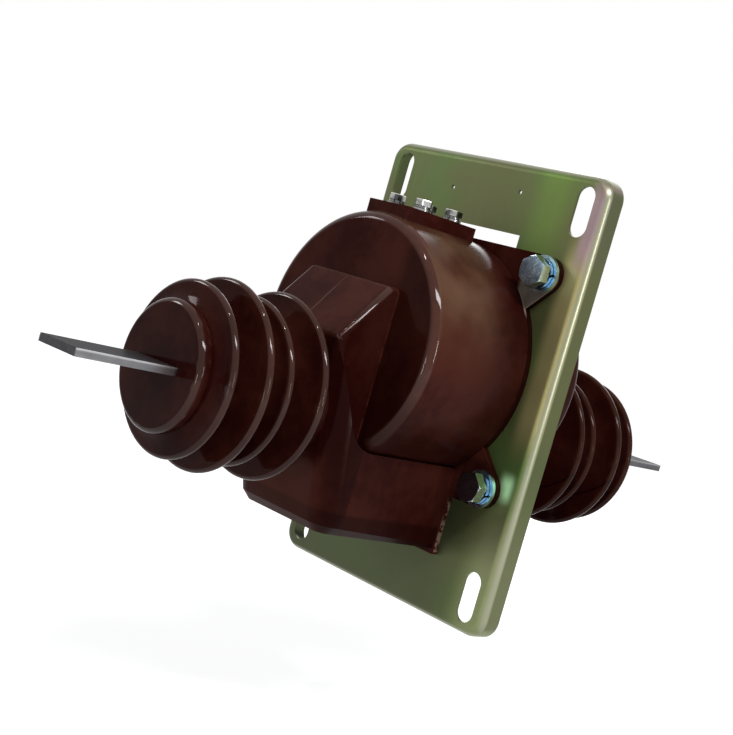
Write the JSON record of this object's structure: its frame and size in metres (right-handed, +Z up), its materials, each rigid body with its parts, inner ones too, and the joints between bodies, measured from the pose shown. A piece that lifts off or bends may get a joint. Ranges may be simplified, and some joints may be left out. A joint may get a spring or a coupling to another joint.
{
  "type": "through-wall current transformer",
  "caption": "Cast-resin medium-voltage current transformer: a drum of cores between two ribbed bushings with flat primary bars, bolted through a pressed panel plate with slotted holes.",
  "frame": {"origin": "centre of the overall box: the middle of the casting's length on the mounting plate's two centre lines", "axes": "+Y along the primary bars, from the front (terminal) side to the rear; +Z up towards the secondary terminals; +X across the plate, to the right seen from the front"},
  "size_m": [0.197, 0.5354, 0.297],
  "materials": {
    "cast_resin": "dark red-brown cast epoxy resin, glossy",
    "yellow_zinc_sheet": "olive iridescent zinc plating on pressed sheet, satin",
    "tinned_bar": "grey tinned bar, satin",
    "copper": "bare rolled copper",
    "core_steel": "wound core strip",
    "board": "pressboard",
    "enamelled_wire": "enamelled copper wire",
    "insert_brass": "turned brass",
    "bright_zinc": "bright zinc plating",
    "blue_zinc": "bluish bright zinc plating"
  },
  "bodies": {
    "root": {"resin_body": "cast_resin", "mounting_plate": "yellow_zinc_sheet", "primary_bar_front": "tinned_bar", "primary_bar_rear": "tinned_bar", "primary_winding": "copper", "ring_core_front": "core_steel", "ring_core_rear": "core_steel", "core_collars_front": "board", "core_collars_rear": "board", "secondary_winding_front": "enamelled_wire", "secondary_winding_rear": "enamelled_wire", "winding_spacer": "board", "secondary_leads_front": "enamelled_wire", "secondary_leads_rear": "enamelled_wire", "terminal_inserts": "insert_brass", "terminal_flat_washers": "bright_zinc", "terminal_spring_washers": "bright_zinc", "terminal_screws": "bright_zinc", "plate_bolts": "blue_zinc", "bolt_spring_washers": "blue_zinc", "bolt_front_washers": "blue_zinc", "bolt_rear_washers": "blue_zinc", "plate_nuts": "blue_zinc"}
  },
  "joints": []
}
